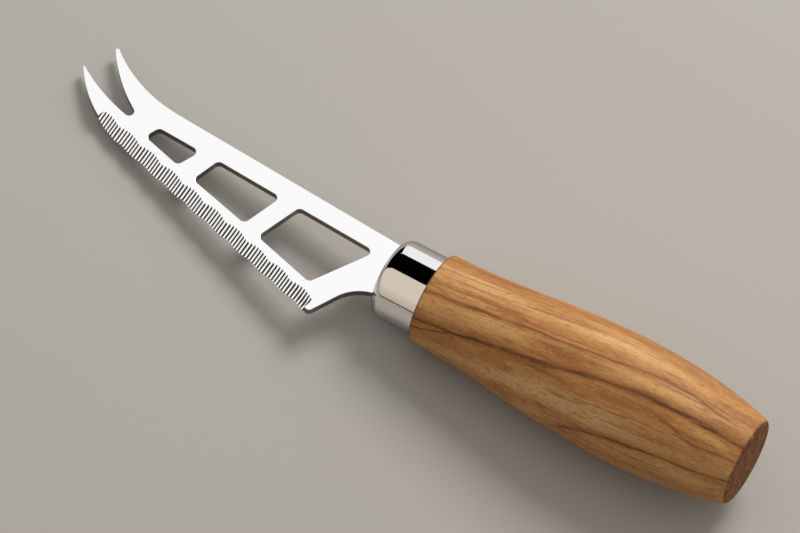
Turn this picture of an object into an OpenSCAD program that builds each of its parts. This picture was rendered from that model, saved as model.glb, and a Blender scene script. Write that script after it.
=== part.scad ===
// Cheese knife with a forked tip: windowed, fluted steel blade, steel ferrule and turned wooden handle.
// The origin is the centre of the flat butt. X runs along the handle, out of the butt.
// The tip points to -X, the cutting edge to -Y, and the fluted face of the blade to +Z.
// Blade outlines are drawn as [distance from the ferrule towards the tip, height towards the spine].

/* [Handle] */
// Length of the wood from the ferrule seam to the butt
handle_len = 90; // [80:0.5:110]
// Diameter of the wood at the ferrule seam
handle_front_d = 24.4; // [23:0.1:27]
// Largest diameter of the barrel
handle_belly_d = 31.8; // [28:0.1:36]
// Diameter that the barrel falls to at the butt
handle_butt_d = 23; // [20:0.1:28]
// Distance of the largest diameter from the ferrule seam
handle_belly_at = 54; // [44:0.5:60]
// Rounding of the wood at the butt
butt_round = 1.1; // [0.5:0.1:3]
// Rounding of the wood at the ferrule seam
seam_round = 0.5; // [0.2:0.1:1]
// Length of the wooden tenon inside the ferrule
tenon_len = 8; // [5:0.5:10]
// Diameter of the hole drilled for the tang
tang_bore_d = 10; // [9.8:0.1:13]
// Depth of the tang hole behind the ferrule seam
tang_bore_depth = 52; // [40:1:70]

/* [Ferrule] */
// Length of the ferrule
ferrule_len = 13; // [11:0.5:18]
// Outer diameter of the ferrule
ferrule_d = 21.6; // [21:0.1:24]
// Wall of the ferrule round the tenon
ferrule_wall = 1.2; // [0.8:0.1:2]
// Rounding of the ferrule's front edge
ferrule_round = 3; // [2:0.1:3.2]

/* [Blade] */
// Thickness of the blade
blade_t = 2.2; // [1.6:0.1:3]
// Spine height above the handle axis where the blade leaves the ferrule
spine_root = 8.4; // [7.5:0.1:8.6]
// Rise of the straight spine towards the tip, in degrees
spine_angle = 3.2; // [2:0.1:5]
// Length of the straight spine
spine_straight = 71; // [68:0.5:73]
// Radius of the hollow that lifts the spine into the upper tine
spine_sweep_r = 42.8; // [40:0.1:46]
// Angle between the straight cutting edge and the handle axis
edge_angle = 14.5; // [13:0.1:16]
// Heel corner of the cutting edge
heel = [11.5, -19.9]; // [-30:0.1:30]
// Length of the straight cutting edge along the handle axis
edge_straight = 67.5; // [64:0.5:70]
// Radius of the belly that runs from the cutting edge to the lower tine's point
belly_r = 37; // [36:0.5:42]
// Slope of the back of the heel, measured from the handle axis
heel_angle = 62.5; // [55:0.5:70]
// Radius of the hollow between heel and ferrule
neck_r = 11; // [9:0.5:14]
// Rounding of the heel corner
heel_round = 1.3; // [0.8:0.1:2]
// Width of the tang
tang_w = 9; // [7:0.1:9]
// Thickness of the tang
tang_t = 1.6; // [1.2:0.1:1.6]
// Length of the tang behind the ferrule seam
tang_len = 48; // [36:1:50]

/* [Fork] */
// Radius of the lower tine's inner side
fork_low_r = 55; // [50:0.5:60]
// Centre of the lower tine's inner arc
fork_low_at = [70.7, 59.1]; // [50:0.1:80]
// Radius of the upper tine's inner side
fork_high_r = 49; // [44:0.5:54]
// Centre of the upper tine's inner arc
fork_high_at = [56.1, 49.6]; // [40:0.1:70]
// Radius of the round end of the gap between the tines
notch_r = 1.3; // [1:0.1:1.6]
// Radius of the upper tine's rounded point
high_point_r = 0.5; // [0.3:0.05:0.8]
// Radius of the lower tine's rounded point
low_point_r = 0.2; // [0.15:0.05:0.5]

/* [Windows] */
// Corners of the small window near the tip
window_tip = [[74.7, 2.4], [72.9, 6.4], [60.0, 5.9], [62.9, -0.6]];
// Corners of the middle window
window_mid = [[57.2, -2.2], [54.6, 5.9], [35.1, 4.9], [39.0, -6.5]];
// Corners of the large window near the ferrule
window_root = [[34.0, -8.0], [29.5, 4.7], [6.1, 3.6], [15.9, -12.6]];
// Corner radius of the windows
window_round = 1.5; // [1:0.1:2]

/* [Flutes] */
// Number of ground flutes along the cutting edge
flute_count = 78; // [60:1:78]
// Distance from flute to flute
flute_pitch = 1; // [0.9:0.01:1]
// Radius of each flute
flute_r = 0.6; // [0.55:0.01:0.7]
// Width of the fluted bevel
bevel_w = 2.9; // [2.4:0.1:3.2]
// Steel left under the flutes at the cutting edge
edge_land = 0.2; // [0.2:0.05:0.5]
// Flutes in one scallop of the edge
scallop_flutes = 8; // [6:1:10]
// Extra depth of the flutes in the middle of a scallop
scallop_depth = 0.5; // [0:0.01:0.5]
// Distance from the heel corner to the first flute
flute_start = 2.2; // [1.5:0.1:4]

/* [Fits] */
// Clearance of glued joints
glue_gap = 0.05; // [0.02:0.01:0.15]

/* [Hidden] */
$fn = 64;
tang_root = 2;
blend = 0.002;
seam_x = -handle_len;
root_x = seam_x - ferrule_len;
front_r = handle_front_d / 2;
belly_rad = handle_belly_d / 2;
butt_r = handle_butt_d / 2;
fall_len = handle_len - handle_belly_at;
fall = belly_rad - butt_r;
barrel_power = 2.2;
barrel_rings = 27;
socket_r = ferrule_d / 2 - ferrule_wall;
tenon_r = socket_r - glue_gap;
socket_depth = tenon_len + glue_gap;
spine_end = [spine_straight, spine_root + spine_straight * tan(spine_angle)];
edge_end = heel + edge_straight * [1, tan(edge_angle)];
spine_sweep_at = spine_end + spine_sweep_r * [-sin(spine_angle), cos(spine_angle)];
belly_at = edge_end + belly_r * [-sin(edge_angle), cos(edge_angle)];
heel_back = heel + 8 * [-cos(heel_angle), sin(heel_angle)];
neck_touch = heel + 8.2 * [-cos(heel_angle), sin(heel_angle)];
neck_at = neck_touch - neck_r * [sin(heel_angle), cos(heel_angle)];
notch_at = meet(fork_low_at, fork_low_r - notch_r, fork_high_at, fork_high_r + notch_r);
high_point_at =
    meet(spine_sweep_at, spine_sweep_r + high_point_r, fork_high_at, fork_high_r - high_point_r);
low_point_at = meet(fork_low_at, fork_low_r + low_point_r, belly_at, belly_r - low_point_r);
bevel_drop = blade_t - edge_land;
bevel_angle = atan2(bevel_drop, bevel_w);
bevel_len = norm([bevel_drop, bevel_w]);

// Depth that flute i gains from its place in a scallop: 0 at the ends, 1 in the middle
function scallop(i) = 1 - pow(2 * (i % scallop_flutes + 0.5) / scallop_flutes - 1, 2);

// Unit vector from a to b, the outward normal of that side, and the corner arc's centre at b
function unit(v) = v / norm(v);
function normal(a, b) = [unit(b - a)[1], -unit(b - a)[0]];
function corner(a, b, c, r) =
    let (p = unit(a - b), q = unit(c - b), half = acos(p * q) / 2)
    b + r / sin(half) * unit(p + q);

// Point at distance ra from a and rb from b, left of the line from a to b
function meet(a, ra, b, rb) =
    let (d = norm(b - a), e = (b - a) / d, k = (d * d + ra * ra - rb * rb) / (2 * d))
    a + k * e + sqrt(ra * ra - k * k) * [-e[1], e[0]];

// Narrow side of a rounded end at p, whose arc touches its two sides in the directions u and v
module beyond(p, u, v) {
    on = 12 * unit(u + v);
    polygon([p, p + 3 * u, p + 3 * u + on, p + 3 * v + on, p + 3 * v]);
}

// Four-sided opening with round corners; corners run anticlockwise
module rounded_window(pts, r) {
    c = [for (i = [0:3]) corner(pts[(i + 3) % 4], pts[i], pts[(i + 1) % 4], r)];
    polygon([for (i = [0:3])
        let (d = c[(i + 1) % 4], n = normal(c[i], d))
        each [c[i] + r * n, d + r * n]]);
    for (at = c) translate(at) circle(r + blend);
}

// Everything of the blade ahead of the straight spine and edge, with the two tines
module tip_outline() {
    difference() {
        intersection() {
            translate(belly_at) circle(belly_r, $fn = 360);
            translate([spine_straight - 0.5, -10]) square([45, 45]);
        }
        translate(spine_sweep_at) circle(spine_sweep_r, $fn = 540);
        fork_gap();
        beyond(high_point_at, unit(spine_sweep_at - high_point_at), unit(high_point_at - fork_high_at));
        beyond(low_point_at, unit(fork_low_at - low_point_at), unit(low_point_at - belly_at));
    }
    translate(high_point_at) circle(high_point_r + blend);
    translate(low_point_at) circle(low_point_r + blend);
}

// Space between the tines, with a round end
module fork_gap() {
    difference() {
        translate(fork_low_at) circle(fork_low_r, $fn = 540);
        translate(fork_high_at) circle(fork_high_r, $fn = 540);
        beyond(notch_at, unit(notch_at - fork_low_at), unit(fork_high_at - notch_at));
    }
    translate(notch_at) circle(notch_r + blend);
}

module blade_outline() {
    difference() {
        union() {
            polygon([[0, spine_root], spine_end, edge_end, heel, heel_back, [0, heel_back[1]]]);
            tip_outline();
        }
        translate(neck_at) circle(neck_r, $fn = 180);
        heel_corner();
        for (w = [window_tip, window_mid, window_root]) rounded_window(w, window_round);
    }
}

// Waste outside the rounded heel corner
module heel_corner() {
    at = corner(edge_end, heel, heel_back, heel_round);
    difference() {
        translate(heel) circle(heel_round * 0.75);
        translate(at) circle(heel_round);
    }
}

// Section across the flutes: round grooves with sharp ridges, open above
module flute_section() {
    half = flute_r - blend;
    for (i = [0:flute_count - 1])
        translate([i * flute_pitch, flute_r - scallop_depth * scallop(i)]) {
            circle(flute_r, $fn = 24);
            translate([-half, 0]) square([2 * half, 4]);
        }
}

// Grinding path of all flutes, square to the cutting edge and falling towards it
module flutes() {
    translate([heel[0], heel[1], edge_land - blade_t / 2])
        rotate(edge_angle)
            translate([flute_start, 0, 0])
                rotate([90 + bevel_angle, 0, 0])
                    translate([0, 0, -2 * bevel_len])
                        linear_extrude(3 * bevel_len) flute_section();
}

module blade() {
    color([0.87, 0.87, 0.86]) {
        translate([root_x, 0, 0])
            mirror([1, 0, 0])
                difference() {
                    translate([0, 0, -blade_t / 2]) linear_extrude(blade_t) blade_outline();
                    flutes();
                }
        tang();
    }
}

// Flat tang through the ferrule into the wood, rooted in the blade
module tang(gap = 0) {
    translate([root_x - tang_root, -tang_w / 2 - gap, -tang_t / 2 - gap])
        cube([tang_root + ferrule_len + tang_len + gap, tang_w + 2 * gap, tang_t + 2 * gap]);
}

module ferrule() {
    color([0.80, 0.80, 0.79])
        difference() {
            translate([root_x, 0, 0]) rotate([0, 90, 0]) rotate_extrude($fn = 128) ferrule_section();
            tang(glue_gap);
        }
}

// Half section of the ferrule: radius to the right, length upwards from the blade
module ferrule_section() {
    r = ferrule_d / 2;
    difference() {
        union() {
            translate([0, ferrule_round]) square([r, ferrule_len - ferrule_round]);
            square([r - ferrule_round, ferrule_len]);
            translate([r - ferrule_round, ferrule_round]) circle(ferrule_round);
        }
        translate([-r, ferrule_len - socket_depth]) square([r + socket_r, socket_depth + 1]);
        translate([-2 * r, -1]) square([2 * r, 2 * ferrule_len]);
    }
}

module handle() {
    color([0.72, 0.53, 0.33])
        difference() {
            translate([seam_x, 0, 0]) rotate([0, 90, 0]) rotate_extrude($fn = 128) handle_section();
            translate([seam_x - tenon_len - 1, 0, 0])
                rotate([0, 90, 0]) cylinder(d = tang_bore_d, h = tenon_len + 1 + tang_bore_depth);
        }
}

// Radius of the barrel at a distance x from the seam: a soft swell to the belly, then a fuller fall
function barrel(x) = x < handle_belly_at
    ? front_r + (belly_rad - front_r) * (1 - cos(180 * x / handle_belly_at)) / 2
    : belly_rad - fall * pow((x - handle_belly_at) / fall_len, barrel_power);

// Points of an arc about c, from angle a to angle b
function arc(c, r, a, b, n) =
    [for (i = [0:n]) let (t = a + (b - a) * i / n) c + r * [cos(t), sin(t)]];

// Half section of the wood: radius to the right, length upwards from the seam
module handle_section() {
    lean = atan(fall * barrel_power / fall_len);
    butt_c = [butt_r + butt_round * tan(lean) - butt_round / cos(lean), handle_len - butt_round];
    polygon(concat(
        [[0, -tenon_len], [tenon_r, -tenon_len], [tenon_r, 0]],
        arc([front_r - seam_round, seam_round], seam_round, -90, 0, 4),
        [for (i = [1:barrel_rings]) let (x = i * handle_len / (barrel_rings + 1)) [barrel(x), x]],
        arc(butt_c, butt_round, lean, 90, 5),
        [[0, handle_len]]
    ));
}

module tang_epoxy() {
    color([0.78, 0.70, 0.50])
        difference() {
            translate([seam_x - tenon_len, 0, 0])
                rotate([0, 90, 0])
                    cylinder(r = tang_bore_d / 2 - glue_gap, h = tenon_len + tang_bore_depth - glue_gap);
            tang(glue_gap);
        }
}

blade();
ferrule();
handle();
tang_epoxy();
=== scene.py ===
"""Cheese knife: polished fluted blade, mirror-bright ferrule, turned olive-wood handle, plain stage."""

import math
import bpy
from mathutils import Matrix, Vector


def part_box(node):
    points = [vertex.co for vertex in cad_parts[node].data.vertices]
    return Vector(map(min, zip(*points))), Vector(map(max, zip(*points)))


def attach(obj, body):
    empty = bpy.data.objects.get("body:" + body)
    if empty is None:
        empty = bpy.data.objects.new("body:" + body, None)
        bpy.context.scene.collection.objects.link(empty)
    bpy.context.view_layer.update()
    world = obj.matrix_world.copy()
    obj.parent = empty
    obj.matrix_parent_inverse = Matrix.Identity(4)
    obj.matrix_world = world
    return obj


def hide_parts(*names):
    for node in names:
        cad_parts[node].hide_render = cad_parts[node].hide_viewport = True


bl_info = {
    "name": "Cheese Knife",
    "version": (1, 0, 0),
    "blender": (4, 5, 0),
    "location": "3D View > Sidebar > Knife",
    "description": "Dresses a forked cheese knife: steel blade, steel ferrule, olive-wood handle, stage",
    "category": "Object",
}

import bmesh
import bpy
from bpy.props import FloatProperty, FloatVectorProperty, IntProperty, PointerProperty
from mathutils import Matrix, Vector

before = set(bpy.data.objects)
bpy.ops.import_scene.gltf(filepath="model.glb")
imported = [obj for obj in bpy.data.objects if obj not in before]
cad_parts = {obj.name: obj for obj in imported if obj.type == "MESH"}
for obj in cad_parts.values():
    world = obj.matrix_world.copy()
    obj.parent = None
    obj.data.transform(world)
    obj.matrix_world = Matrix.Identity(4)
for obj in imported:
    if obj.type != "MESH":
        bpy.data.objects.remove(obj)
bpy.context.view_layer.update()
BLADE_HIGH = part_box("blade")[1]
FERRULE_LOW, FERRULE_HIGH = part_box("ferrule")
HANDLE_LOW, HANDLE_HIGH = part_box("handle")
SEAM_X = FERRULE_HIGH.x
ROOT_X = FERRULE_LOW.x

MM = 0.001
MERGE = 0.0001 * MM  # points of a turned shape that are closer than this are one
TOUCH = 0.001 * MM  # places that are closer than this are the same
NEAR = 0.01 * MM  # room for the rounding of a turned radius
HOLD = 0.12 * MM  # short face beside a rounded edge, which keeps the long face next to it true

# Face attributes of the blade
CUT_WALL = "cut_wall"
# Flute walls that lean to the tip, which get a painted dark reflection
FLUTE_PAINTED_DARK = "flute_painted_dark"


# Settings


def length(name, description, default):
    """Property for a size in metres."""
    return FloatProperty(name=name, description=description, default=default, unit="LENGTH", precision=5)


def angle(name, description, degrees):
    """Property for an angle, whose default is given in degrees."""
    return FloatProperty(name=name, description=description, default=math.radians(degrees), subtype="ANGLE")


def point(name, description, default):
    """Property for a place in metres."""
    return FloatVectorProperty(
        name=name, description=description, default=default, subtype="TRANSLATION", size=3, precision=5
    )


def half_size(name, description, default):
    """Property for half the width and half the height of a panel, in metres."""
    return FloatVectorProperty(name=name, description=description, default=default, unit="LENGTH", size=2)


def tint(name, description, default):
    """Property for a colour."""
    return FloatVectorProperty(
        name=name, description=description, default=default, subtype="COLOR", size=3, min=0.0, max=1.0
    )


def share(name, description, default, low=0.0, high=1.0):
    """Property for a plain number between two limits, which are 0 and 1 unless they are given."""
    return FloatProperty(
        name=name, description=description, default=default, min=low, max=high, subtype="FACTOR"
    )


def facets(default):
    """Property for the steps of a turned shape."""
    return IntProperty(
        name="Facets round", description="Steps of the turned shape", default=default, min=48, max=512
    )


class BladeSettings(bpy.types.PropertyGroup):
    """Sizes and finish of the blade"""

    edge_ease: length("Edge ease", "Width of the broken edge round outline and windows", 0.10 * MM)
    edge_angle: angle("Edge angle", "Cutting edge to handle axis", 14.5)
    heel_out: length("Heel place", "Distance of the heel corner from the ferrule", 11.5 * MM)
    heel_drop: length("Heel drop", "Distance of the heel corner below the handle axis", 19.9 * MM)
    back_reach: length("Back reach", "Height above the edge up to which its back stays sharp", 7 * MM)
    back_run: length("Back run", "Distance from the heel up to which the edge's back stays sharp", 79 * MM)
    flute_band: length("Flute band", "Width of the fluted band along the edge", 5.5 * MM)
    flute_run: length("Flute run", "Length of the fluted band from the heel towards the tip", 81 * MM)
    flute_pitch: length("Flute pitch", "Distance from flute to flute", 1.0 * MM)
    # Flute walls that lean to the tip past this get the painted dark reflection
    flute_tilt: share("Flute tilt", "Lean to the tip from which a flute wall stays ground", -0.12, low=-1.0)
    wall_tilt: share("Wall tilt", "Upward part of a face normal under which a face is a cut wall", 0.2)
    steel: tint("Steel", "Colour of the polished steel", (0.87, 0.87, 0.87))
    haze: tint("Haze", "Colour of the haze in the polish", (0.62, 0.61, 0.60))
    # Cut walls: dull cut steel, darkened further with painted shade
    cut: tint("Cut steel", "Colour of the cut walls of outline and windows", (0.30, 0.285, 0.27))
    # Painted reflection: near-black colour for flute walls that lean to the tip, standing in for the dark
    # surroundings they mirror
    painted_dark: tint("Ground steel", "Colour of flute walls that no polish reaches", (0.030, 0.030, 0.030))
    roughness: share("Roughness", "Roughness of the polished steel", 0.13)


class FerruleSettings(bpy.types.PropertyGroup):
    """Sizes and finish of the ferrule"""

    front_round: length("Front rounding", "Radius of the front edge", 3.0 * MM)
    rear_ease: length("Rear rounding", "Radius of the rear edge at the wood", 0.25 * MM)
    wall: length("Wall", "Wall round the wooden tenon", 1.2 * MM)
    socket: length("Socket depth", "Depth of the socket for the tenon", 8.05 * MM)
    slot_width: length("Slot width", "Width of the slot for the tang", 9.1 * MM)
    slot_height: length("Slot height", "Height of the slot for the tang", 1.7 * MM)
    turns: facets(192)
    steel: tint("Steel", "Colour of the mirror polish", (0.80, 0.79, 0.78))
    edge_on: tint("Edge-on", "Tint of the mirror polish where it is seen edge-on", (0.60, 0.58, 0.56))
    haze: tint("Haze", "Colour of the finger haze", (0.55, 0.53, 0.50))
    roughness: share("Roughness", "Roughness of the mirror polish", 0.045)


class HandleSettings(bpy.types.PropertyGroup):
    """Sizes and finish of the wooden handle"""

    seam_radius: length("Seam radius", "Radius of the wood at the ferrule", 12.2 * MM)
    butt_radius: length("Butt radius", "Radius that the barrel falls to at the butt", 11.5 * MM)
    belly_at: length("Belly place", "Distance of the thickest place from the seam", 54 * MM)
    butt_round: length("Butt rounding", "Rounding of the butt edge", 1.1 * MM)
    seam_round: length("Seam rounding", "Rounding of the wood at the seam", 0.5 * MM)
    tenon_radius: length("Tenon radius", "Radius of the tenon in the ferrule", 9.55 * MM)
    bore_radius: length("Bore radius", "Radius of the hole for the tang", 5 * MM)
    bore_depth: length("Bore depth", "Depth of the tang hole behind the seam", 52 * MM)
    turns: facets(160)
    grain_turn: angle("Grain turn", "Slope of the grain to the handle axis", 5)
    pale: tint("Pale wood", "Palest clouds", (0.78, 0.470, 0.210))
    light: tint("Light wood", "Light bands and fibres", (0.66, 0.362, 0.134))
    warm: tint("Warm wood", "Main golden brown", (0.46, 0.194, 0.056))
    brown: tint("Brown wood", "Soft darker bands and veins", (0.262, 0.093, 0.026))
    dark: tint("Dark wood", "Narrow dark veins and pores", (0.072, 0.026, 0.012))
    end_grain: tint("End grain", "Cut ends of the fibres on the butt", (0.200, 0.073, 0.027))
    roughness: share("Roughness", "Roughness of the oiled wood", 0.52)


class AdhesiveSettings(bpy.types.PropertyGroup):
    """Finish of the cured adhesive"""

    amber: tint("Amber", "Colour of the clear adhesive", (0.66, 0.55, 0.30))
    cloud: tint("Cloud", "Colour of its darker clouds", (0.55, 0.44, 0.22))
    bubble: tint("Bubbles", "Colour of its small bubbles", (0.85, 0.80, 0.66))


class StageSettings(bpy.types.PropertyGroup):
    """Floor, light and camera"""

    floor: tint("Floor", "Colour of the plain floor", (0.46, 0.44, 0.405))
    speckle: tint("Speckle", "Colour of the floor's faint speckles", (0.40, 0.38, 0.35))
    backdrop: tint("Backdrop", "Colour behind the floor", (0.46, 0.44, 0.405))
    floor_radius: length("Floor radius", "Radius of the round floor", 4.0)
    floor_slope: angle("Floor slope", "Fall of the floor towards the butt", 4.6536)
    floor_point: point("Floor point", "Point under the belly on the floor", (-0.0514, 0.0, -0.01525))
    daylight: tint("Daylight", "Soft light from behind and above", (0.62, 0.615, 0.60))
    shade: tint("Shade", "Soft light from the front and below", (0.195, 0.188, 0.182))
    wall: tint("Wall", "White wall behind the knife, as the steel mirrors it", (1.0, 1.0, 1.0))
    room: tint("Room", "Beige room before the knife, as the steel mirrors it", (0.80, 0.70, 0.575))
    overhead_at: point("Panel over the blade", "Middle of the panel over the blade", (-0.15, 0.28, 0.60))
    overhead_half: half_size("Half size", "Half size of the panel over the blade", (0.95, 0.34))
    overhead_glow: share("Panel glow", "Brightness of the panel over the blade", 1.09, high=2.0)
    beyond_at: point("Far panel", "Middle of the upright panel beyond the tip", (-1.007, 0.515, 0.42))
    beyond_half: half_size("Far half size", "Half size of the panel beyond the tip", (0.60, 0.45))
    beyond_turn: angle("Far panel turn", "Turn of the panel beyond the tip", 59)
    key_at: point("Key light", "Place of the key light", (0.02, 0.66, 0.74))
    key_aim: point("Key aim", "Point that the key light shines at", (-0.1, 0.0, 0.0))
    key_size: length("Key size", "Width of the square key light", 0.45)
    key_tint: tint("Key tint", "Colour of the key light", (1.0, 0.97, 0.93))
    key_power: FloatProperty(
        name="Key power", description="Power of the key light", default=6.5, unit="POWER"
    )
    camera_at: point("Camera", "Place of the camera", (0.19992, -0.49094, 0.95686))
    azimuth: angle("Azimuth", "Camera azimuth", 31.4)
    elevation: angle("Elevation", "Camera elevation", 58.8)
    lens: FloatProperty(
        name="Lens", description="Focal length on a 36 mm frame", default=200.0, unit="CAMERA"
    )


# Shader nodes


def rgba(colour):
    """Colour with full opacity."""
    return (*colour, 1.0)


def node(tree, kind, settings=None, sockets=None):
    """Adds a node; an input given another node's output is linked to it, any other input is set."""
    made = tree.nodes.new(kind)
    for name, value in (settings or {}).items():
        setattr(made, name, value)
    for key, value in (sockets or {}).items():
        if isinstance(value, bpy.types.NodeSocket):
            tree.links.new(value, made.inputs[key])
        else:
            made.inputs[key].default_value = value
    return made


def calc(tree, operation, first, second=0.0, clamp=False):
    """Result of a Math node."""
    made = node(tree, "ShaderNodeMath", {"operation": operation, "use_clamp": clamp}, {0: first, 1: second})
    return made.outputs[0]


def blend(tree, factor, first, second):
    """Colour between first and second."""
    made = node(
        tree, "ShaderNodeMix", {"data_type": "RGBA", "blend_type": "MIX", "clamp_factor": True},
        {0: factor, 6: first, 7: second},
    )
    return made.outputs[2]


def smooth(tree, value, low, high, to_low=0.0, to_high=1.0):
    """Soft step of value from low to high."""
    made = node(
        tree, "ShaderNodeMapRange", {"interpolation_type": "SMOOTHSTEP"},
        {"Value": value, "From Min": low, "From Max": high, "To Min": to_low, "To Max": to_high},
    )
    return made.outputs["Result"]


def noise(tree, vector, cells, detail=2.0, roughness=0.5, shift=(0.0, 0.0, 0.0)):
    """Noise from 0 to 1, with so many cells in a metre along each axis."""
    placed = node(tree, "ShaderNodeMapping", None, {"Vector": vector, "Scale": cells, "Location": shift})
    made = node(
        tree, "ShaderNodeTexNoise", {"noise_dimensions": "3D"},
        {"Vector": placed.outputs["Vector"], "Scale": 1.0, "Detail": detail, "Roughness": roughness},
    )
    return made.outputs["Fac"]


def patterns(tree, vector, table):
    """Noise for each entry of a table of patterns, by name."""
    return {name: noise(tree, vector, **pattern) for name, pattern in table.items()}


def attribute(tree, name):
    """Value of a face attribute."""
    return node(tree, "ShaderNodeAttribute", {"attribute_name": name}).outputs["Fac"]


def ramp(tree, factor, stops):
    """Colour ramp through (position, colour) stops."""
    made = node(tree, "ShaderNodeValToRGB", None, {0: factor})
    elements = made.color_ramp.elements
    last = len(stops) - 1
    for index, (position, colour) in enumerate(stops):
        if index == 0:
            stop = elements[0]
        elif index == last:
            stop = elements[-1]
        else:
            stop = elements.new(position)
        stop.position = position
        stop.color = rgba(colour)
    return made.outputs["Color"]


def add_part(tree, value, pattern, amount):
    """Value raised by an amount where the pattern is 1."""
    return calc(tree, "ADD", calc(tree, "MULTIPLY", pattern, amount), value)


def uneven(tree, mean, parts):
    """Roughness about a mean, spread by (pattern, amount) parts."""
    value = mean - sum(amount for _, amount in parts) / 2
    for pattern, amount in parts:
        value = add_part(tree, value, pattern, amount)
    return value


def new_material(name):
    """Empty material with its Principled shader and Object coordinates."""
    material = bpy.data.materials.new(name)
    material.use_nodes = True
    tree = material.node_tree
    tree.nodes.clear()
    shader = node(tree, "ShaderNodeBsdfPrincipled")
    node(tree, "ShaderNodeOutputMaterial", None, {"Surface": shader.outputs["BSDF"]})
    coords = node(tree, "ShaderNodeTexCoord").outputs["Object"]
    return material, tree, shader, coords


def bump(tree, shader, height, strength, distance):
    """Fine relief on a shader."""
    made = node(
        tree, "ShaderNodeBump", None, {"Height": height, "Strength": strength, "Distance": distance}
    )
    tree.links.new(made.outputs["Normal"], shader.inputs["Normal"])


# Steel and adhesive

# Noise patterns: cells in a metre along X, Y and Z, then detail, roughness and shift where they matter.
BLADE_PATTERNS = {
    "lines": {"cells": (60.0, 5200.0, 5200.0), "detail": 3.0},
    "haze": {"cells": (70.0, 70.0, 70.0)},
    "drag": {"cells": (4200.0, 4200.0, 120.0)},
}
FERRULE_PATTERNS = {
    "rings": {"cells": (9000.0, 8.0, 8.0)},
    "haze": {"cells": (160.0, 160.0, 160.0), "detail": 3.0, "roughness": 0.6},
}
ADHESIVE_PATTERNS = {
    "cloud": {"cells": (220.0, 220.0, 220.0)},
    "bubbles": {"cells": (1600.0, 1600.0, 1600.0), "detail": 0.0},
}
HAZE_SHARE = 0.08
DRAG_DARKER = 0.55
BUBBLE_SHARE = 0.5
# Spread of the roughness by each pattern, and what is added on flute walls with the painted dark
# reflection.
LINES_ROUGH = 0.05
HAZE_ROUGH = 0.03
FINGER_ROUGH = 0.04
DRAG_ROUGH = 0.20
PAINTED_DARK_ROUGH = 0.22
# Strength and depth of the fine relief
LINES_RELIEF = 0.04
RINGS_RELIEF = 0.012
POLISH_DEPTH = 0.02 * MM
BUBBLE_RELIEF = 0.2
BUBBLE_DEPTH = 0.1 * MM


def blade_steel(settings):
    """Polished steel with faint polish lines. Cut walls are dull cut steel, darkened further with painted
    shade. Flute walls that lean to the tip get a painted dark reflection. Both are less smooth.
    """
    material, tree, shader, coords = new_material("blade_steel")
    wall = attribute(tree, CUT_WALL)
    painted_dark = attribute(tree, FLUTE_PAINTED_DARK)
    finish = patterns(tree, coords, BLADE_PATTERNS)
    hazy = calc(tree, "MULTIPLY", finish["haze"], HAZE_SHARE)
    colour = blend(tree, hazy, rgba(settings.steel), rgba(settings.haze))
    # Cut walls: dull cut steel with drag lines, darkened further with painted shade
    cut = blend(tree, finish["drag"], rgba(settings.cut), rgba(Vector(settings.cut) * DRAG_DARKER))
    colour = blend(tree, wall, colour, cut)
    # Painted dark reflection on the flute walls that lean to the tip
    colour = blend(tree, painted_dark, colour, rgba(settings.painted_dark))
    spreads = ((finish["lines"], LINES_ROUGH), (finish["haze"], HAZE_ROUGH))
    rough = uneven(tree, settings.roughness, spreads)
    rough = add_part(tree, rough, calc(tree, "MULTIPLY", wall, finish["drag"]), DRAG_ROUGH)
    rough = add_part(tree, rough, painted_dark, PAINTED_DARK_ROUGH)
    tree.links.new(colour, shader.inputs["Base Color"])
    tree.links.new(rough, shader.inputs["Roughness"])
    shader.inputs["Metallic"].default_value = 1.0
    bump(tree, shader, finish["lines"], LINES_RELIEF, POLISH_DEPTH)
    return material


def ferrule_steel(settings):
    """Mirror-polished steel with faint turning lines and finger haze."""
    material, tree, shader, coords = new_material("ferrule_steel")
    finish = patterns(tree, coords, FERRULE_PATTERNS)
    hazy = calc(tree, "MULTIPLY", finish["haze"], HAZE_SHARE)
    colour = blend(tree, hazy, rgba(settings.steel), rgba(settings.haze))
    rough = uneven(tree, settings.roughness, ((finish["haze"], FINGER_ROUGH),))
    tree.links.new(colour, shader.inputs["Base Color"])
    tree.links.new(rough, shader.inputs["Roughness"])
    shader.inputs["Metallic"].default_value = 1.0
    shader.inputs["Specular Tint"].default_value = rgba(settings.edge_on)
    bump(tree, shader, finish["rings"], RINGS_RELIEF, POLISH_DEPTH)
    return material


def cured_adhesive(settings):
    """Cured amber adhesive with small bubbles."""
    material, tree, shader, coords = new_material("cured_adhesive")
    finish = patterns(tree, coords, ADHESIVE_PATTERNS)
    bubbles = smooth(tree, finish["bubbles"], low=0.66, high=0.72)
    tone = blend(tree, finish["cloud"], rgba(settings.amber), rgba(settings.cloud))
    tone = blend(tree, calc(tree, "MULTIPLY", bubbles, BUBBLE_SHARE), tone, rgba(settings.bubble))
    rough = smooth(tree, finish["cloud"], low=0.3, high=0.7, to_low=0.32, to_high=0.5)
    tree.links.new(tone, shader.inputs["Base Color"])
    tree.links.new(rough, shader.inputs["Roughness"])
    bump(tree, shader, bubbles, BUBBLE_RELIEF, BUBBLE_DEPTH)
    return material


# Olive wood

TONES = ("pale", "light", "warm", "brown", "dark")
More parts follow.
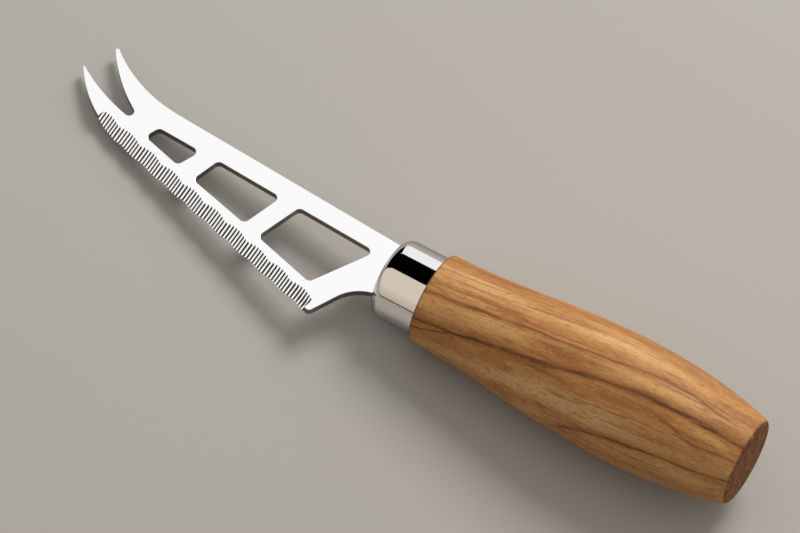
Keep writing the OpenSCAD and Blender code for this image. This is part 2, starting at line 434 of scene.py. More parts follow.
# Noise patterns on the turned grain, and on the cut end.
WOOD_PATTERNS = {
    "drift": {"cells": (30.0, 80.0, 60.0)},
    "ripple": {"cells": (160.0, 700.0, 400.0), "detail": 3.0, "shift": (3.0, 1.0, 2.0)},
    "mottle": {"cells": (40.0, 190.0, 150.0), "detail": 3.0, "shift": (7.0, 2.0, 5.0)},
    "streaks": {"cells": (22.0, 1000.0, 800.0), "detail": 4.0, "roughness": 0.62},
    "fibre": {"cells": (110.0, 3000.0, 3000.0), "detail": 3.0, "roughness": 0.65},
    "flecks": {"cells": (520.0, 2500.0, 2500.0), "roughness": 0.6, "shift": (5.0, 8.0, 1.0)},
    "patches": {"cells": (70.0, 1100.0, 1100.0), "detail": 3.0, "roughness": 0.6},
    "swell": {"cells": (60.0, 120.0, 90.0), "detail": 1.0, "shift": (1.0, 4.0, 9.0)},
    "pores": {"cells": (420.0, 6500.0, 6500.0), "detail": 1.0},
}
END_PATTERNS = {
    "rings": {"cells": (60.0, 420.0, 160.0), "detail": 3.0, "roughness": 0.6, "shift": (2.0, 6.0, 3.0)},
    "vessels": {"cells": (400.0, 1900.0, 420.0), "detail": 4.0, "roughness": 0.65},
}
# Stains: pattern, the values where it begins and is full, strength and tone.
MOTTLE_STAINS = (("mottle", 0.38, 0.68, 0.60, "warm"),)
STAINS_UNDER_VEINS = (
    ("streaks", 0.50, 0.70, 0.70, "brown"),
    ("streaks", 0.48, 0.30, 0.45, "light"),
    ("fibre", 0.47, 0.24, 0.40, "light"),
    ("flecks", 0.48, 0.28, 0.40, "light"),
)
STAINS_OVER_VEINS = (
    ("fibre", 0.52, 0.78, 0.50, "brown"),
    ("flecks", 0.52, 0.72, 0.45, "brown"),
    ("pores", 0.60, 0.72, 0.45, "dark"),
)
# Broad bands across the grain: place in mm and tone. They run the length of the wood.
GRAIN_BANDS = (
    (-24.0, "warm"), (-20.0, "light"), (-17.2, "warm"), (-14.8, "light"), (-12.2, "warm"),
    (-9.0, "light"), (-6.6, "warm"), (-1.6, "warm"), (1.0, "light"), (3.2, "warm"), (5.6, "warm"),
    (8.4, "light"), (10.2, "warm"), (11.4, "light"), (13.0, "warm"), (16.0, "warm"), (18.5, "light"),
    (21.0, "warm"), (24.0, "light"),
)
GRAIN_HALF = 24.0 * MM
# Clouds in the wood, in mm: middle along and across, half length and half width; then strength and tone.
CLOUDS = (
    (-74.0, 9.8, 16.0, 2.6, 0.55, "pale"),
    (-36.0, 8.2, 18.0, 1.9, 0.70, "pale"),
    (-24.0, 6.6, 18.0, 1.8, 0.65, "light"),
    (-72.0, 0.8, 9.0, 1.8, 0.70, "light"),
    (-86.0, 0.8, 7.0, 2.2, 0.65, "light"),
    (-80.0, 4.8, 12.0, 1.2, 0.60, "light"),
    (-68.0, -0.8, 18.0, 1.2, 0.40, "light"),
    (-60.0, -8.6, 16.0, 2.6, 0.60, "pale"),
    (-20.0, 1.4, 12.0, 1.8, 0.85, "light"),
    (-40.0, -9.8, 17.0, 2.2, 0.75, "pale"),
    (-9.0, -5.0, 6.0, 1.0, 0.60, "light"),
    (-24.0, -15.2, 18.0, 2.0, 0.45, "light"),
    (-48.0, 0.4, 13.0, 2.3, 0.75, "brown"),
    (-62.0, -4.6, 14.0, 0.8, 0.25, "brown"),
    (-30.0, -5.0, 12.0, 1.0, 0.40, "brown"),
    (-5.0, -0.8, 7.0, 2.2, 0.55, "brown"),
    (-4.0, 4.6, 6.0, 2.6, 0.45, "brown"),
    (-74.0, 15.2, 20.0, 1.2, 0.30, "brown"),
    (-14.0, 12.4, 13.0, 2.6, 0.35, "brown"),
    (-12.0, -9.4, 10.0, 1.2, 0.45, "brown"),
    (-34.0, 20.0, 26.0, 2.0, 0.50, "brown"),
)
CLOUD_RIM = 1.35  # share of the half size where a cloud ends
CLOUD_CORE = 0.25  # share of the half size inside which it is full
CLOUD_WANDER = 5.0 * MM
# Routes of the main veins, in mm: places along and across the grain.
MAIN_VEIN = (
    (-106.0, -4.4), (-94.0, -3.7), (-84.0, -3.2), (-72.0, -3.2), (-56.0, -3.5), (-42.0, -2.9),
    (-26.0, -2.3), (-10.0, -2.6), (8.0, -3.3),
)
UPPER_VEIN = (
    (-104.0, 3.4), (-76.0, 3.2), (-62.0, 3.0), (-50.0, 2.7), (-38.0, 3.1), (-27.0, 3.8), (-17.0, 3.4),
    (-10.0, 2.2), (0.0, 1.0),
)
LOWER_VEIN = (
    (-52.0, -16.4), (-46.0, -15.5), (-40.8, -14.4), (-35.5, -13.7), (-29.5, -13.2), (-21.0, -12.5),
    (-12.8, -12.4), (-7.5, -12.0), (6.0, -9.8),
)
SIDE_VEIN = ((-28.0, -4.6), (-19.8, -5.8), (-16.0, -6.8), (-12.0, -7.4), (-6.8, -7.2), (2.0, -6.2))
TOP_VEIN = ((-52.0, 14.8), (-42.0, 14.4), (-36.0, 13.0), (-32.0, 12.0), (-24.0, 11.4), (-12.0, 10.6))
FAR_VEIN = ((-92.0, 17.4), (-70.0, 18.2), (-44.0, 19.0), (-20.0, 18.0), (4.0, 16.4))
# Veins: route, reach above and below it in mm; then strength and tone.
VEINS = (
    (MAIN_VEIN, 2.6, 1.5, 0.70, "brown"),
    (MAIN_VEIN, 1.0, 0.7, 0.88, "dark"),
    (((-102.0, -6.4), (-87.0, -5.3), (-82.0, -3.9), (-78.0, -3.2), (-66.0, -3.4)), 0.6, 0.5, 0.85, "dark"),
    (UPPER_VEIN, 1.1, 1.1, 0.60, "brown"),
    (UPPER_VEIN, 0.45, 0.5, 0.55, "dark"),
    (((-72.0, 5.3), (-60.0, 4.4), (-48.0, 4.0), (-36.0, 3.9), (-26.0, 4.4)), 0.4, 0.6, 0.65, "brown"),
    (((-94.0, 4.8), (-78.0, 6.1), (-68.0, 5.2), (-54.0, 4.6)), 0.4, 0.4, 0.65, "brown"),
    (SIDE_VEIN, 1.2, 1.0, 0.55, "brown"),
    (SIDE_VEIN, 0.6, 0.5, 0.50, "dark"),
    (LOWER_VEIN, 1.0, 0.8, 0.45, "brown"),
    (LOWER_VEIN, 0.4, 0.35, 0.88, "dark"),
    (((-52.0, -16.4), (-44.0, -16.0), (-39.0, -16.0), (-28.0, -16.4)), 0.25, 0.25, 0.70, "dark"),
    (((-62.0, -15.8), (-52.0, -15.2), (-46.0, -14.9), (-36.0, -14.6)), 0.5, 0.5, 0.45, "brown"),
    (TOP_VEIN, 0.5, 0.5, 0.70, "brown"),
    (((-84.0, 12.4), (-70.0, 12.0), (-56.0, 11.8)), 0.4, 0.4, 0.55, "brown"),
    (((-68.0, 10.9), (-52.0, 10.7), (-40.0, 10.2)), 0.35, 0.35, 0.50, "brown"),
    (((-32.0, 8.8), (-20.0, 8.4), (-12.0, 7.6), (-2.0, 5.6)), 0.3, 0.3, 0.55, "brown"),
    (((-94.0, 15.2), (-76.0, 15.0), (-60.0, 15.4)), 0.6, 0.6, 0.60, "brown"),
    (((-64.0, -4.4), (-55.0, -4.9), (-46.0, -5.2)), 0.3, 0.3, 0.65, "dark"),
    (((-50.0, -8.2), (-36.0, -8.1), (-30.0, -7.9), (-24.0, -7.7), (-12.0, -8.8)), 0.3, 0.3, 0.65, "brown"),
    (((-14.0, -0.6), (-6.0, 0.4), (4.0, 0.6)), 0.5, 0.5, 0.55, "brown"),
    (((-14.0, 5.5), (-4.0, 4.0), (4.0, 3.4)), 0.4, 0.4, 0.55, "brown"),
    (FAR_VEIN, 0.8, 0.4, 0.80, "dark"),
    (((-70.0, 21.0), (-50.0, 21.8), (-26.0, 21.4), (-4.0, 19.6)), 0.5, 0.5, 0.60, "brown"),
)
VEIN_FADE = 10.0 * MM
ROUTE_BEGIN = -110.0
ROUTE_SPAN = 120.0
# The grain wanders, leans outwards on both sides of the handle and is shifted along its underside.
DRIFT = 1.2 * MM
RIPPLE = 0.9 * MM
LEAN = 0.5
LEAN_FROM = 8.0 * MM
LEAN_FULL = 6.0 * MM
UNDER_FROM = -7.0 * MM
UNDER_FULL = -13.0 * MM
UNDER_ALONG = 17.0 * MM
UNDER_ACROSS = 3.4 * MM
# Butt and seam
END_FROM = -0.6 * MM
END_FULL = -0.15 * MM
END_ROUGH = 0.30
SEAM_FROM = 0.7 * MM
SEAM_FULL = 0.1 * MM
SEAM_SHARE = 0.75
FIBRE_ROUGH = 0.16
OIL_GLOSS = 0.2
STREAK_SHARE = 0.4
GRAIN_RELIEF = 0.12
GRAIN_DEPTH = 0.1 * MM


def swing(tree, pattern, size):
    """Pattern from 0 to 1 as a length to both sides of zero."""
    return calc(tree, "MULTIPLY", calc(tree, "SUBTRACT", pattern, 0.5), size)


def place_grain(tree, turned, solid, figure):
    """Places along and across the grain, and how much the veins narrow and break there."""
    place = node(tree, "ShaderNodeSeparateXYZ", None, {0: turned}).outputs
    wander = calc(tree, "ADD", swing(tree, figure["drift"], DRIFT), swing(tree, figure["ripple"], RIPPLE))
    underside = smooth(tree, solid["Z"], UNDER_FROM, UNDER_FULL)
    below = calc(tree, "MAXIMUM", calc(tree, "SUBTRACT", LEAN_FROM, solid["Z"]), 0.0)
    outward = smooth(tree, solid["Y"], -LEAN_FULL, LEAN_FULL, to_low=-LEAN, to_high=LEAN)
    across = calc(tree, "ADD", place["Y"], wander)
    across = calc(tree, "ADD", across, calc(tree, "MULTIPLY", below, outward))
    return {
        "along": add_part(tree, place["X"], underside, UNDER_ALONG),
        "across": add_part(tree, across, underside, UNDER_ACROSS),
        "narrowing": smooth(tree, figure["swell"], low=0.3, high=0.7, to_low=0.65, to_high=1.5),
        "breaks": smooth(tree, figure["patches"], low=0.30, high=0.60, to_low=0.40, to_high=1.0),
    }


def band_colour(tree, grain, tones):
    """Colour of the broad bands across the grain."""
    way = calc(tree, "DIVIDE", calc(tree, "ADD", grain["across"], GRAIN_HALF), 2 * GRAIN_HALF, clamp=True)
    return ramp(tree, way, [(band_share(at), tones[tone]) for at, tone in GRAIN_BANDS])


def band_share(across):
    """Share of the way across the banded width, from a place in mm."""
    return across * MM / (2 * GRAIN_HALF) + 0.5


def lay_stains(tree, colour, figure, stains, tones):
    """Blends the tone of each stain in where its pattern is strong."""
    for name, begin, full, strength, tone in stains:
        mask = smooth(tree, figure[name], begin, full, to_high=strength)
        colour = blend(tree, mask, colour, rgba(tones[tone]))
    return colour


def lay_clouds(tree, colour, figure, grain, tones):
    """Lightens or darkens long soft patches of the wood."""
    loose = calc(tree, "ADD", grain["across"], swing(tree, figure["mottle"], CLOUD_WANDER))
    spot = node(tree, "ShaderNodeCombineXYZ", None, {0: grain["along"], 1: loose}).outputs[0]
    for along, across, half_length, half_width, strength, tone in CLOUDS:
        middle = (along * MM, across * MM, 0.0)
        size = (half_length * MM, half_width * MM, 1.0)
        placed = node(
            tree, "ShaderNodeMapping", {"vector_type": "TEXTURE"},
            {"Vector": spot, "Location": middle, "Scale": size},
        )
        away = node(tree, "ShaderNodeVectorMath", {"operation": "LENGTH"}, {0: placed.outputs["Vector"]})
        mask = smooth(tree, away.outputs["Value"], CLOUD_RIM, CLOUD_CORE, to_high=strength)
        colour = blend(tree, mask, colour, rgba(tones[tone]))
    return colour


def vein_place(tree, along, route):
    """Place of a vein across the grain, on a smooth curve through the points of its route."""
    way = calc(tree, "DIVIDE", calc(tree, "SUBTRACT", along, ROUTE_BEGIN * MM), ROUTE_SPAN * MM)
    made = node(tree, "ShaderNodeFloatCurve", None, {"Value": way})
    points = made.mapping.curves[0].points
    spots = [((at - ROUTE_BEGIN) / ROUTE_SPAN, band_share(across)) for at, across in route]
    points[0].location = spots[0]
    for spot in spots[1:-1]:
        points.new(*spot)
    points[-1].location = spots[-1]
    made.mapping.update()
    return swing(tree, made.outputs["Value"], 2 * GRAIN_HALF)


def lay_veins(tree, colour, grain, tones):
    """Darkens the wood along its veins, which swell, thin and break."""
    along = grain["along"]
    for route, above, below, strength, tone in VEINS:
        off = calc(tree, "SUBTRACT", grain["across"], vein_place(tree, along, route))
        off = calc(tree, "MULTIPLY", off, grain["narrowing"])
        rise = smooth(tree, off, above * MM, 0.0)
        fall = smooth(tree, off, -below * MM, 0.0)
        begin = route[0][0] * MM
        end = route[-1][0] * MM
        start = smooth(tree, along, begin, begin + VEIN_FADE, to_high=strength)
        stop = smooth(tree, along, end, end - VEIN_FADE)
        width = calc(tree, "MINIMUM", rise, fall)
        mask = calc(tree, "MULTIPLY", width, calc(tree, "MULTIPLY", start, stop))
        mask = calc(tree, "MULTIPLY", mask, grain["breaks"])
        colour = blend(tree, mask, colour, rgba(tones[tone]))
    return colour


def lay_end_grain(tree, colour, coords, end, settings):
    """Darkens the cut fibres of the butt, with growth rings and lines of vessels."""
    figure = patterns(tree, coords, END_PATTERNS)
    rings = smooth(tree, figure["rings"], low=0.36, high=0.62, to_low=0.55, to_high=0.95)
    lines = smooth(tree, figure["vessels"], low=0.44, high=0.60, to_high=0.75)
    colour = blend(tree, calc(tree, "MULTIPLY", end, rings), colour, rgba(settings.end_grain))
    return blend(tree, calc(tree, "MULTIPLY", end, lines), colour, rgba(settings.dark))


def olive_wood(settings):
    """Oiled olive wood: broad bands, clouds, dark veins, fine fibres along the grain, darker end grain."""
    material, tree, shader, coords = new_material("olive_wood")
    level = (0.0, 0.0, -settings.grain_turn)
    turned = node(tree, "ShaderNodeMapping", None, {"Vector": coords, "Rotation": level}).outputs["Vector"]
    solid = node(tree, "ShaderNodeSeparateXYZ", None, {0: coords}).outputs
    figure = patterns(tree, turned, WOOD_PATTERNS)
    grain = place_grain(tree, turned, solid, figure)
    tones = {name: getattr(settings, name) for name in TONES}

    colour = band_colour(tree, grain, tones)
    colour = lay_stains(tree, colour, figure, MOTTLE_STAINS, tones)
    colour = lay_clouds(tree, colour, figure, grain, tones)
    colour = lay_stains(tree, colour, figure, STAINS_UNDER_VEINS, tones)
    colour = lay_veins(tree, colour, grain, tones)
    colour = lay_stains(tree, colour, figure, STAINS_OVER_VEINS, tones)
    end = smooth(tree, solid["X"], END_FROM, END_FULL)
    colour = lay_end_grain(tree, colour, coords, end, settings)
    seam = smooth(tree, solid["X"], SEAM_X + SEAM_FROM, SEAM_X + SEAM_FULL, to_high=SEAM_SHARE)
    colour = blend(tree, seam, colour, rgba(settings.dark))

    rough = uneven(tree, settings.roughness, ((figure["fibre"], FIBRE_ROUGH),))
    rough = add_part(tree, rough, end, END_ROUGH)
    tree.links.new(colour, shader.inputs["Base Color"])
    tree.links.new(rough, shader.inputs["Roughness"])
    shader.inputs["Specular IOR Level"].default_value = OIL_GLOSS
    fine = calc(tree, "SUBTRACT", figure["fibre"], figure["pores"])
    relief = add_part(tree, fine, figure["streaks"], STREAK_SHARE)
    bump(tree, shader, relief, GRAIN_RELIEF, GRAIN_DEPTH)
    return material


# Meshes

EASE_STEPS = 2
FRONT_STEPS = 20
REAR_STEPS = 3
SEAM_STEPS = 5
BUTT_STEPS = 7
BARREL_RINGS = 60
BARREL_POWER = 2.2  # how late the barrel falls to the butt
FILL_RIM = 0.85  # share of the flat front's radius where the fill round the slot begins
FLAT_ANGLE = math.radians(0.2)  # faces that differ by less than this lie in one plane
FLAT = 0.999  # least upward part of a flat side's normal
UPRIGHT = 0.01  # largest upward part of an upright wall's normal
LOOKS_UP = 0.1  # least upward part of a flute wall's normal
FACES_EDGE = -0.2  # largest part towards the spine in the normal of a wall on the cutting edge


def put_piece(name, bm, material, cad_node, sharp_degrees):
    """Makes the finished object: a closed shell, smooth but split at sharp edges, riding on the knife."""
    if not all(edge.is_manifold and edge.is_contiguous for edge in bm.edges):
        raise RuntimeError(name + ": the shell is open or its faces disagree")
    if bm.calc_volume(signed=True) <= 0:
        raise RuntimeError(name + ": the shell is inside out")
    for face in bm.faces:
        face.smooth = True
    for edge in bm.edges:
        if edge.calc_face_angle(0.0) > math.radians(sharp_degrees):
            edge.smooth = False
    mesh = bpy.data.meshes.new(name)
    bm.to_mesh(mesh)
    bm.free()
    mesh.materials.append(material)
    piece = bpy.data.objects.new(name, mesh)
    bpy.context.scene.collection.objects.link(piece)
    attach(piece, "root")
    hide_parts(cad_node)


def profile_line(bm, points):
    """Polyline of (x, radius) points, ready to be turned about the handle axis."""
    corners = [bm.verts.new((x, radius, 0.0)) for x, radius in points]
    for first, second in zip(corners, corners[1:]):
        bm.edges.new((first, second))
    return corners


def round_corner(bm, corner, radius, segments):
    """Rounds one square corner of a profile."""
    bmesh.ops.bevel(
        bm, geom=[corner], offset=radius, offset_type="OFFSET", segments=segments, profile=0.5,
        affect="VERTICES", material=-1, clamp_overlap=True,
    )


def turn(bm, steps):
    """Turns the profile through a full circle about the handle axis."""
    bmesh.ops.spin(
        bm, geom=bm.verts[:] + bm.edges[:], cent=(0.0, 0.0, 0.0), axis=(1.0, 0.0, 0.0),
        angle=2 * math.pi, steps=steps, use_merge=True, use_duplicate=False,
    )
    bmesh.ops.remove_doubles(bm, verts=bm.verts, dist=MERGE)


def ring_at(bm, x, radius):
    """Open boundary edges of a turned shape at one place."""
    return [
        edge for edge in bm.edges
        if edge.is_boundary
        and all(abs(v.co.x - x) < TOUCH and abs(v.co.yz.length - radius) < NEAR for v in edge.verts)
    ]


def slot_loop(bm, x, width, height):
    """Rectangle of four edges round the tang."""
    corners = [
        bm.verts.new((x, side * width / 2, up * height / 2))
        for side, up in ((-1, -1), (1, -1), (1, 1), (-1, 1))
    ]
    return [bm.edges.new((corners[i], corners[(i + 1) % 4])) for i in range(4)]


def edge_place(spot, settings):
    """Distance of a spot from the heel towards the tip, and above the line of the cutting edge."""
    out = ROOT_X - spot.x - settings.heel_out
    return out, spot.y + settings.heel_drop - out * math.tan(settings.edge_angle)


def is_painted_dark(face, settings):
    """True for the wall of a flute that leans towards the tip, which gets a painted dark reflection."""
    middle = face.calc_center_median()
    if middle.z > BLADE_HIGH.z - TOUCH or face.normal.z < LOOKS_UP:
        return False
    out, above = edge_place(middle, settings)
    to_tip = Vector((-math.cos(settings.edge_angle), math.sin(settings.edge_angle), 0.0))
    reach = [vert.co.dot(to_tip) for vert in face.verts]
    fluted = 0.0 < out < settings.flute_run and above < settings.flute_band
    narrow = max(reach) - min(reach) < settings.flute_pitch
    return fluted and narrow and face.normal.dot(to_tip) > settings.flute_tilt


def is_outline(edge, settings):
    """True for an edge between a flat side and an upright wall, but not on the back of the cutting edge."""
    wall, side = sorted(edge.link_faces, key=lambda face: abs(face.normal.z))
    if abs(wall.normal.z) > UPRIGHT or abs(side.normal.z) < FLAT:
        return False
    middle = (edge.verts[0].co + edge.verts[1].co) / 2
    if abs(abs(middle.z) - BLADE_HIGH.z) > TOUCH or middle.x > ROOT_X - NEAR:
        return False
    out, above = edge_place(middle, settings)
    along_edge = 0.0 < out < settings.back_run and above < settings.back_reach
    return middle.z > 0 or not (along_edge and wall.normal.y < FACES_EDGE)


def barrel_radius(settings, at, total):
    """Radius of the barrel at a distance from the seam."""
    belly = HANDLE_HIGH.z
    if at < settings.belly_at:
        swell = (1 - math.cos(math.pi * at / settings.belly_at)) / 2
        return settings.seam_radius + (belly - settings.seam_radius) * swell
    fall = (at - settings.belly_at) / (total - settings.belly_at)
    return belly - (belly - settings.butt_radius) * fall ** BARREL_POWER


class KNIFE_OT_blade(bpy.types.Operator):
    """Forked, windowed and fluted steel blade with its tang"""

    bl_idname = "knife.blade"
    bl_label = "Blade"

    def execute(self, context):
        settings = context.scene.knife_blade
        bm = bmesh.new()
        bm.from_mesh(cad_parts["blade"].data)
        bmesh.ops.remove_doubles(bm, verts=bm.verts, dist=TOUCH)
        bmesh.ops.dissolve_limit(bm, angle_limit=FLAT_ANGLE, verts=bm.verts, edges=bm.edges)
        bm.normal_update()
        eased = [edge for edge in bm.edges if is_outline(edge, settings)]
        bmesh.ops.bevel(
            bm, geom=eased, offset=settings.edge_ease, offset_type="OFFSET", segments=EASE_STEPS,
            profile=0.5, affect="EDGES", material=-1, clamp_overlap=False,
        )
        bm.normal_update()
        wall = bm.faces.layers.float.new(CUT_WALL)
        painted_dark = bm.faces.layers.float.new(FLUTE_PAINTED_DARK)
        for face in bm.faces:
            face[wall] = float(abs(face.normal.z) < settings.wall_tilt)
            # Marks the flute walls that get the painted dark reflection
            face[painted_dark] = float(is_painted_dark(face, settings))
        put_piece("blade_polished", bm, blade_steel(settings), "blade", sharp_degrees=20)
        return {"FINISHED"}


class KNIFE_OT_ferrule(bpy.types.Operator):
    """Turned steel ferrule with a rounded front, a socket for the tenon and a slot for the tang"""

    bl_idname = "knife.ferrule"
    bl_label = "Ferrule"

    def execute(self, context):
        settings = context.scene.knife_ferrule
        outer = FERRULE_HIGH.z
        socket = outer - settings.wall
        floor_x = SEAM_X - settings.socket
        rim = (outer - settings.front_round) * FILL_RIM
        bm = bmesh.new()
        corners = profile_line(bm, (
            (ROOT_X, rim), (ROOT_X, outer), (ROOT_X + settings.front_round + HOLD, outer),
            (SEAM_X - settings.rear_ease - HOLD, outer), (SEAM_X, outer), (SEAM_X, socket),
            (floor_x, socket), (floor_x, rim),
        ))
        round_corner(bm, corners[1], settings.front_round, FRONT_STEPS)
        round_corner(bm, corners[4], settings.rear_ease, REAR_STEPS)
        turn(bm, settings.turns)
        front = slot_loop(bm, ROOT_X, settings.slot_width, settings.slot_height)
        back = slot_loop(bm, floor_x, settings.slot_width, settings.slot_height)
        bmesh.ops.triangle_fill(bm, edges=ring_at(bm, ROOT_X, rim) + front, use_beauty=True)
        bmesh.ops.triangle_fill(bm, edges=ring_at(bm, floor_x, rim) + back, use_beauty=True)
        bmesh.ops.bridge_loops(bm, edges=front + back)
        bmesh.ops.recalc_face_normals(bm, faces=bm.faces)
        put_piece(
            "ferrule_bright", bm, ferrule_steel(settings), "ferrule", sharp_degrees=35
        )
        return {"FINISHED"}


class KNIFE_OT_handle(bpy.types.Operator):
    """Turned olive-wood barrel with its tenon and tang bore"""

    bl_idname = "knife.handle"
    bl_label = "Handle"

    def execute(self, context):
        settings = context.scene.knife_handle
        total = HANDLE_HIGH.x - SEAM_X
        places = [total * i / BARREL_RINGS for i in range(1, BARREL_RINGS)]
        barrel = [(SEAM_X + at, barrel_radius(settings, at, total)) for at in places]
        bore_end = SEAM_X + settings.bore_depth
        butt_flat = settings.butt_radius - settings.butt_round - HOLD
        bm = bmesh.new()
        corners = profile_line(bm, (
            (bore_end, 0.0), (bore_end, settings.bore_radius),
            (HANDLE_LOW.x, settings.bore_radius), (HANDLE_LOW.x, settings.tenon_radius),
            (SEAM_X, settings.tenon_radius), (SEAM_X, settings.seam_radius), *barrel,
            (HANDLE_HIGH.x, settings.butt_radius), (HANDLE_HIGH.x, butt_flat), (HANDLE_HIGH.x, 0.0),
        ))
        round_corner(bm, corners[5], settings.seam_round, SEAM_STEPS)
        round_corner(bm, corners[-3], settings.butt_round, BUTT_STEPS)
        turn(bm, settings.turns)
        bmesh.ops.recalc_face_normals(bm, faces=bm.faces)
        put_piece("handle_turned", bm, olive_wood(settings), "handle", sharp_degrees=30)
        return {"FINISHED"}


class KNIFE_OT_adhesive(bpy.types.Operator):
    """Finish of the cured adhesive round the tang"""

    bl_idname = "knife.adhesive"
    bl_label = "Adhesive"

    def execute(self, context):
        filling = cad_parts["tang_epoxy"]
        filling.data.materials.clear()
        filling.data.materials.append(cured_adhesive(context.scene.knife_adhesive))
        return {"FINISHED"}


# Stage

# What the steel mirrors, from the horizon behind the knife over the top to the horizon in front:
# share of that half turn, surface and brightness.
WALL_END = 0.50
ROOM_BEGIN = 0.53
WALL_GLOW = 1.05
MIRRORED_ROOM = (
    (0.000, "room", 0.10), (0.008, "room", 0.10), (0.018, "wall", 0.95), (0.050, "wall", 1.08),
    (WALL_END, "wall", WALL_GLOW), (ROOM_BEGIN, "room", 1.00), (0.800, "room", 1.00),
    (0.975, "room", 0.70), (0.985, "room", 0.03), (1.000, "room", 0.03),
)
# In front of the knife the room shows only towards the tip. Towards the heel the white wall goes on:
# X part of a direction where it begins and is full.
HEEL_SIDE_FROM = -0.25
HEEL_SIDE_FULL = -0.12
# Direction that the soft daylight comes from
SKY_Y = 0.6
SKY_Z = 0.8
SPECKLE_CELLS = (900.0, 900.0, 900.0)
SPECKLE_SHARE = 0.06
FLOOR_ROUGH = 0.85
FLOOR_GLOSS = 0.2
FLOOR_SIDES = 96
SENSOR_WIDTH = 36.0
CLIP_NEAR = 0.05
CLIP_FAR = 20.0


def stage_mesh(name, bm, material):
    """Makes an object of the stage, which isn't part of the knife."""
    mesh = bpy.data.meshes.new(name)
    bm.to_mesh(mesh)
    bm.free()
    mesh.materials.append(material)
    made = bpy.data.objects.new(name, mesh)
    bpy.context.scene.collection.objects.link(made)
    return made


def lay_floor(settings):
    """Plain pale floor that touches the belly and falls towards the butt."""
    material, tree, shader, coords = new_material("pale_floor")
    speckle = calc(tree, "MULTIPLY", noise(tree, coords, SPECKLE_CELLS), SPECKLE_SHARE)
    tone = blend(tree, speckle, rgba(settings.floor), rgba(settings.speckle))
    tree.links.new(tone, shader.inputs["Base Color"])
    shader.inputs["Roughness"].default_value = FLOOR_ROUGH
    shader.inputs["Specular IOR Level"].default_value = FLOOR_GLOSS
    tilt = Matrix.Translation(settings.floor_point) @ Matrix.Rotation(settings.floor_slope, 4, "Y")
    bm = bmesh.new()
    bmesh.ops.create_circle(
        bm, cap_ends=True, segments=FLOOR_SIDES, radius=settings.floor_radius, matrix=tilt
    )
    stage_mesh("floor", bm, material)


def soft_sky(tree, y, z, settings):
    """Soft light for wood and floor, brightest behind and above the knife."""
    towards = calc(tree, "ADD", calc(tree, "MULTIPLY", y, SKY_Y), calc(tree, "MULTIPLY", z, SKY_Z))
    bright = smooth(tree, towards, low=-0.6, high=1.0)
    return blend(tree, bright, rgba(settings.shade), rgba(settings.daylight))


def mirrored_room(tree, x, y, z, settings):
    """White wall and beige room that the steel mirrors."""
    surfaces = {"wall": Vector(settings.wall), "room": Vector(settings.room)}
    turn_up = calc(tree, "DIVIDE", calc(tree, "ARCTAN2", z, y), math.pi, clamp=True)
    tone = ramp(tree, turn_up, [(at, glow * surfaces[surface]) for at, surface, glow in MIRRORED_ROOM])
    heel_side = smooth(tree, x, HEEL_SIDE_FROM, HEEL_SIDE_FULL)
    heel_side = calc(tree, "MULTIPLY", heel_side, smooth(tree, turn_up, WALL_END, ROOM_BEGIN))
    return blend(tree, heel_side, tone, rgba(WALL_GLOW * surfaces["wall"]))


def light_world(scene, settings):
    """Soft daylight, the room that the steel mirrors, and the plain backdrop for the camera."""
    world = bpy.data.worlds.new("studio")
    scene.world = world
    world.use_nodes = True
    tree = world.node_tree
    tree.nodes.clear()
    coords = node(tree, "ShaderNodeTexCoord").outputs["Generated"]
    x, y, z = node(tree, "ShaderNodeSeparateXYZ", None, {0: coords}).outputs
    path = node(tree, "ShaderNodeLightPath").outputs
    tone = soft_sky(tree, y, z, settings)
    tone = blend(tree, path["Is Glossy Ray"], tone, mirrored_room(tree, x, y, z, settings))
    tone = blend(tree, path["Is Camera Ray"], tone, rgba(settings.backdrop))
    light = node(tree, "ShaderNodeBackground", None, {"Color": tone, "Strength": 1.0})
    node(tree, "ShaderNodeOutputWorld", None, {"Surface": light.outputs[0]})


def hang_panel(name, place, colour, receiver):
    """Panel that shows in mirrors only: it glows in one piece and is black in the others."""
    material = bpy.data.materials.new(name + "_glow")
    material.use_nodes = True
    tree = material.node_tree
    tree.nodes.clear()
    glow = node(tree, "ShaderNodeEmission", None, {"Color": rgba(colour), "Strength": 1.0})
    node(tree, "ShaderNodeOutputMaterial", None, {"Surface": glow.outputs[0]})
    bm = bmesh.new()
    bmesh.ops.create_grid(bm, x_segments=1, y_segments=1, size=1.0, matrix=place)
    panel = stage_mesh(name, bm, material)
    panel.visible_camera = False
    panel.visible_diffuse = False
    panel.visible_shadow = False
    lit = bpy.data.collections.new(name + "_lights")
    lit.objects.link(bpy.data.objects[receiver])
    panel.light_linking.receiver_collection = lit


def hang_panels(settings):
    """One level panel over the blade and one upright panel beyond the tip."""
    wall = Vector(settings.wall)
    overhead = Matrix.Translation(settings.overhead_at)
    overhead = overhead @ Matrix.Diagonal((*settings.overhead_half, 1.0, 1.0))
    hang_panel("overhead_panel", overhead, settings.overhead_glow * wall, "blade_polished")
    beyond = Matrix.Translation(settings.beyond_at) @ Matrix.Rotation(settings.beyond_turn, 4, "Z")
    beyond = beyond @ Matrix.Rotation(math.pi / 2, 4, "X")
    beyond = beyond @ Matrix.Diagonal((*settings.beyond_half, 1.0, 1.0))
    hang_panel("beyond_panel", beyond, wall, "blade_polished")


def hang_key_light(settings):
    """Square soft light aimed at the middle of the knife."""
    lamp = bpy.data.lights.new("key_light", "AREA")
    lamp.shape = "SQUARE"
    lamp.size = settings.key_size
    lamp.energy = settings.key_power
    lamp.color = settings.key_tint
    light = bpy.data.objects.new("key_light", lamp)
    bpy.context.scene.collection.objects.link(light)
    light.location = settings.key_at
    light.rotation_mode = "QUATERNION"
    light.rotation_quaternion = (settings.key_aim - settings.key_at).to_track_quat("-Z", "Y")


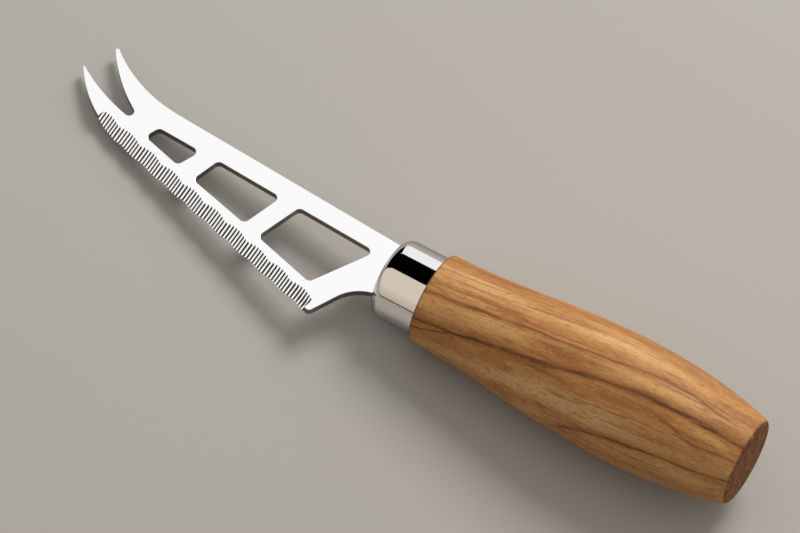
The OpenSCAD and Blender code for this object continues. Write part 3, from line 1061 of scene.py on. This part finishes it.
def place_camera(scene, settings):
    """Camera at its azimuth and elevation."""
    lens = bpy.data.cameras.new("camera")
    lens.lens = settings.lens
    lens.sensor_width = SENSOR_WIDTH
    lens.clip_start = CLIP_NEAR
    lens.clip_end = CLIP_FAR
    camera = bpy.data.objects.new("camera", lens)
    scene.collection.objects.link(camera)
    camera.location = settings.camera_at
    back = Vector((
        math.sin(settings.azimuth) * math.cos(settings.elevation),
        -math.cos(settings.azimuth) * math.cos(settings.elevation),
        math.sin(settings.elevation),
    ))
    camera.rotation_mode = "QUATERNION"
    camera.rotation_quaternion = (-back).to_track_quat("-Z", "Y")
    scene.camera = camera


class KNIFE_OT_stage(bpy.types.Operator):
    """Plain floor, soft light and the camera"""

    bl_idname = "knife.stage"
    bl_label = "Stage"

    def execute(self, context):
        settings = context.scene.knife_stage
        lay_floor(settings)
        light_world(context.scene, settings)
        hang_panels(settings)
        hang_key_light(settings)
        place_camera(context.scene, settings)
        context.scene.view_settings.view_transform = "Standard"
        return {"FINISHED"}


class KNIFE_PT_sidebar(bpy.types.Panel):
    """Pieces of the knife and their settings"""

    bl_idname = "KNIFE_PT_sidebar"
    bl_label = "Cheese Knife"
    bl_space_type = "VIEW_3D"
    bl_region_type = "UI"
    bl_category = "Knife"

    def draw(self, context):
        for operator, group in STEPS:
            box = self.layout.box()
            box.operator(operator.bl_idname)
            for name in GROUPS[group].__annotations__:
                box.prop(getattr(context.scene, group), name)


GROUPS = {
    "knife_blade": BladeSettings,
    "knife_ferrule": FerruleSettings,
    "knife_handle": HandleSettings,
    "knife_adhesive": AdhesiveSettings,
    "knife_stage": StageSettings,
}
STEPS = (
    (KNIFE_OT_blade, "knife_blade"),
    (KNIFE_OT_ferrule, "knife_ferrule"),
    (KNIFE_OT_handle, "knife_handle"),
    (KNIFE_OT_adhesive, "knife_adhesive"),
    (KNIFE_OT_stage, "knife_stage"),
)
CLASSES = (*GROUPS.values(), *(operator for operator, _ in STEPS), KNIFE_PT_sidebar)


def register():
    """Adds the classes, and the settings to the scene."""
    for cls in CLASSES:
        bpy.utils.register_class(cls)
    for name, group in GROUPS.items():
        setattr(bpy.types.Scene, name, PointerProperty(type=group))


def unregister():
    """Takes the settings and the classes away again."""
    for name in GROUPS:
        delattr(bpy.types.Scene, name)
    for cls in reversed(CLASSES):
        bpy.utils.unregister_class(cls)


def main():
    """Builds every piece and the stage in order."""
    register()
    bpy.ops.knife.blade()
    bpy.ops.knife.ferrule()
    bpy.ops.knife.handle()
    bpy.ops.knife.adhesive()
    bpy.ops.knife.stage()


if __name__ == "__main__":
    main()
